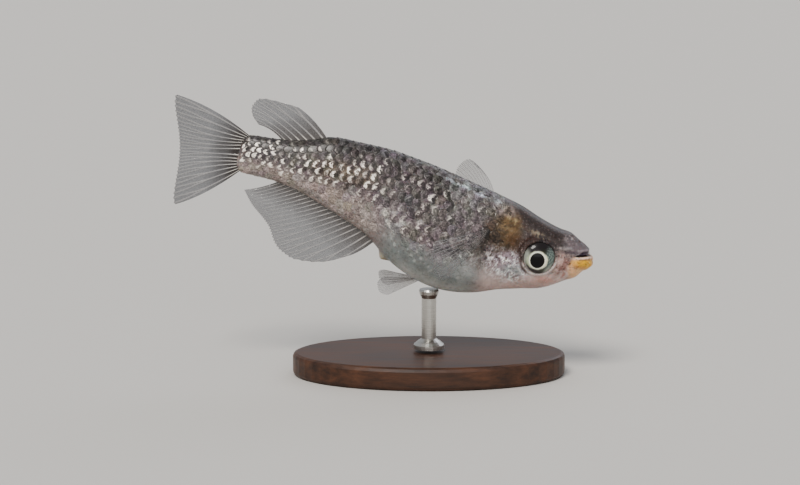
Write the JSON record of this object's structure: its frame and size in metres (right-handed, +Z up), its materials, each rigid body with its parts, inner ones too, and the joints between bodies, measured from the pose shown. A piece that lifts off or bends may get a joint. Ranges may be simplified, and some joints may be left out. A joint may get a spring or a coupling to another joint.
{
  "type": "japanese rice fish",
  "caption": "Small slender fish swimming head down with its fins spread, held on a short rod over an oval display base.",
  "frame": {"origin": "middle of the stand's flat underside", "axes": "+X towards the fish's head, +Y to the fish's left, +Z up"},
  "size_m": [0.037, 0.014, 0.0246],
  "materials": {
    "skin": "wet silvery grey skin",
    "jaw": "wet orange lip",
    "fin": "clear grey membrane",
    "eye": "glossy",
    "stand_wood": "dark satin wood",
    "stand_metal": "satin steel"
  },
  "bodies": {
    "root": {"anal_fin": "fin", "caudal_fin": "fin", "dorsal_fin": "fin", "eye_left": "eye", "eye_right": "eye", "head": "skin", "lower_jaw": "jaw", "pectoral_fin_left": "fin", "pectoral_fin_right": "fin", "pelvic_fin_left": "fin", "pelvic_fin_right": "fin", "stand_base": "stand_wood", "stand_rod": "stand_metal", "tail": "skin", "trunk": "skin"}
  },
  "joints": []
}
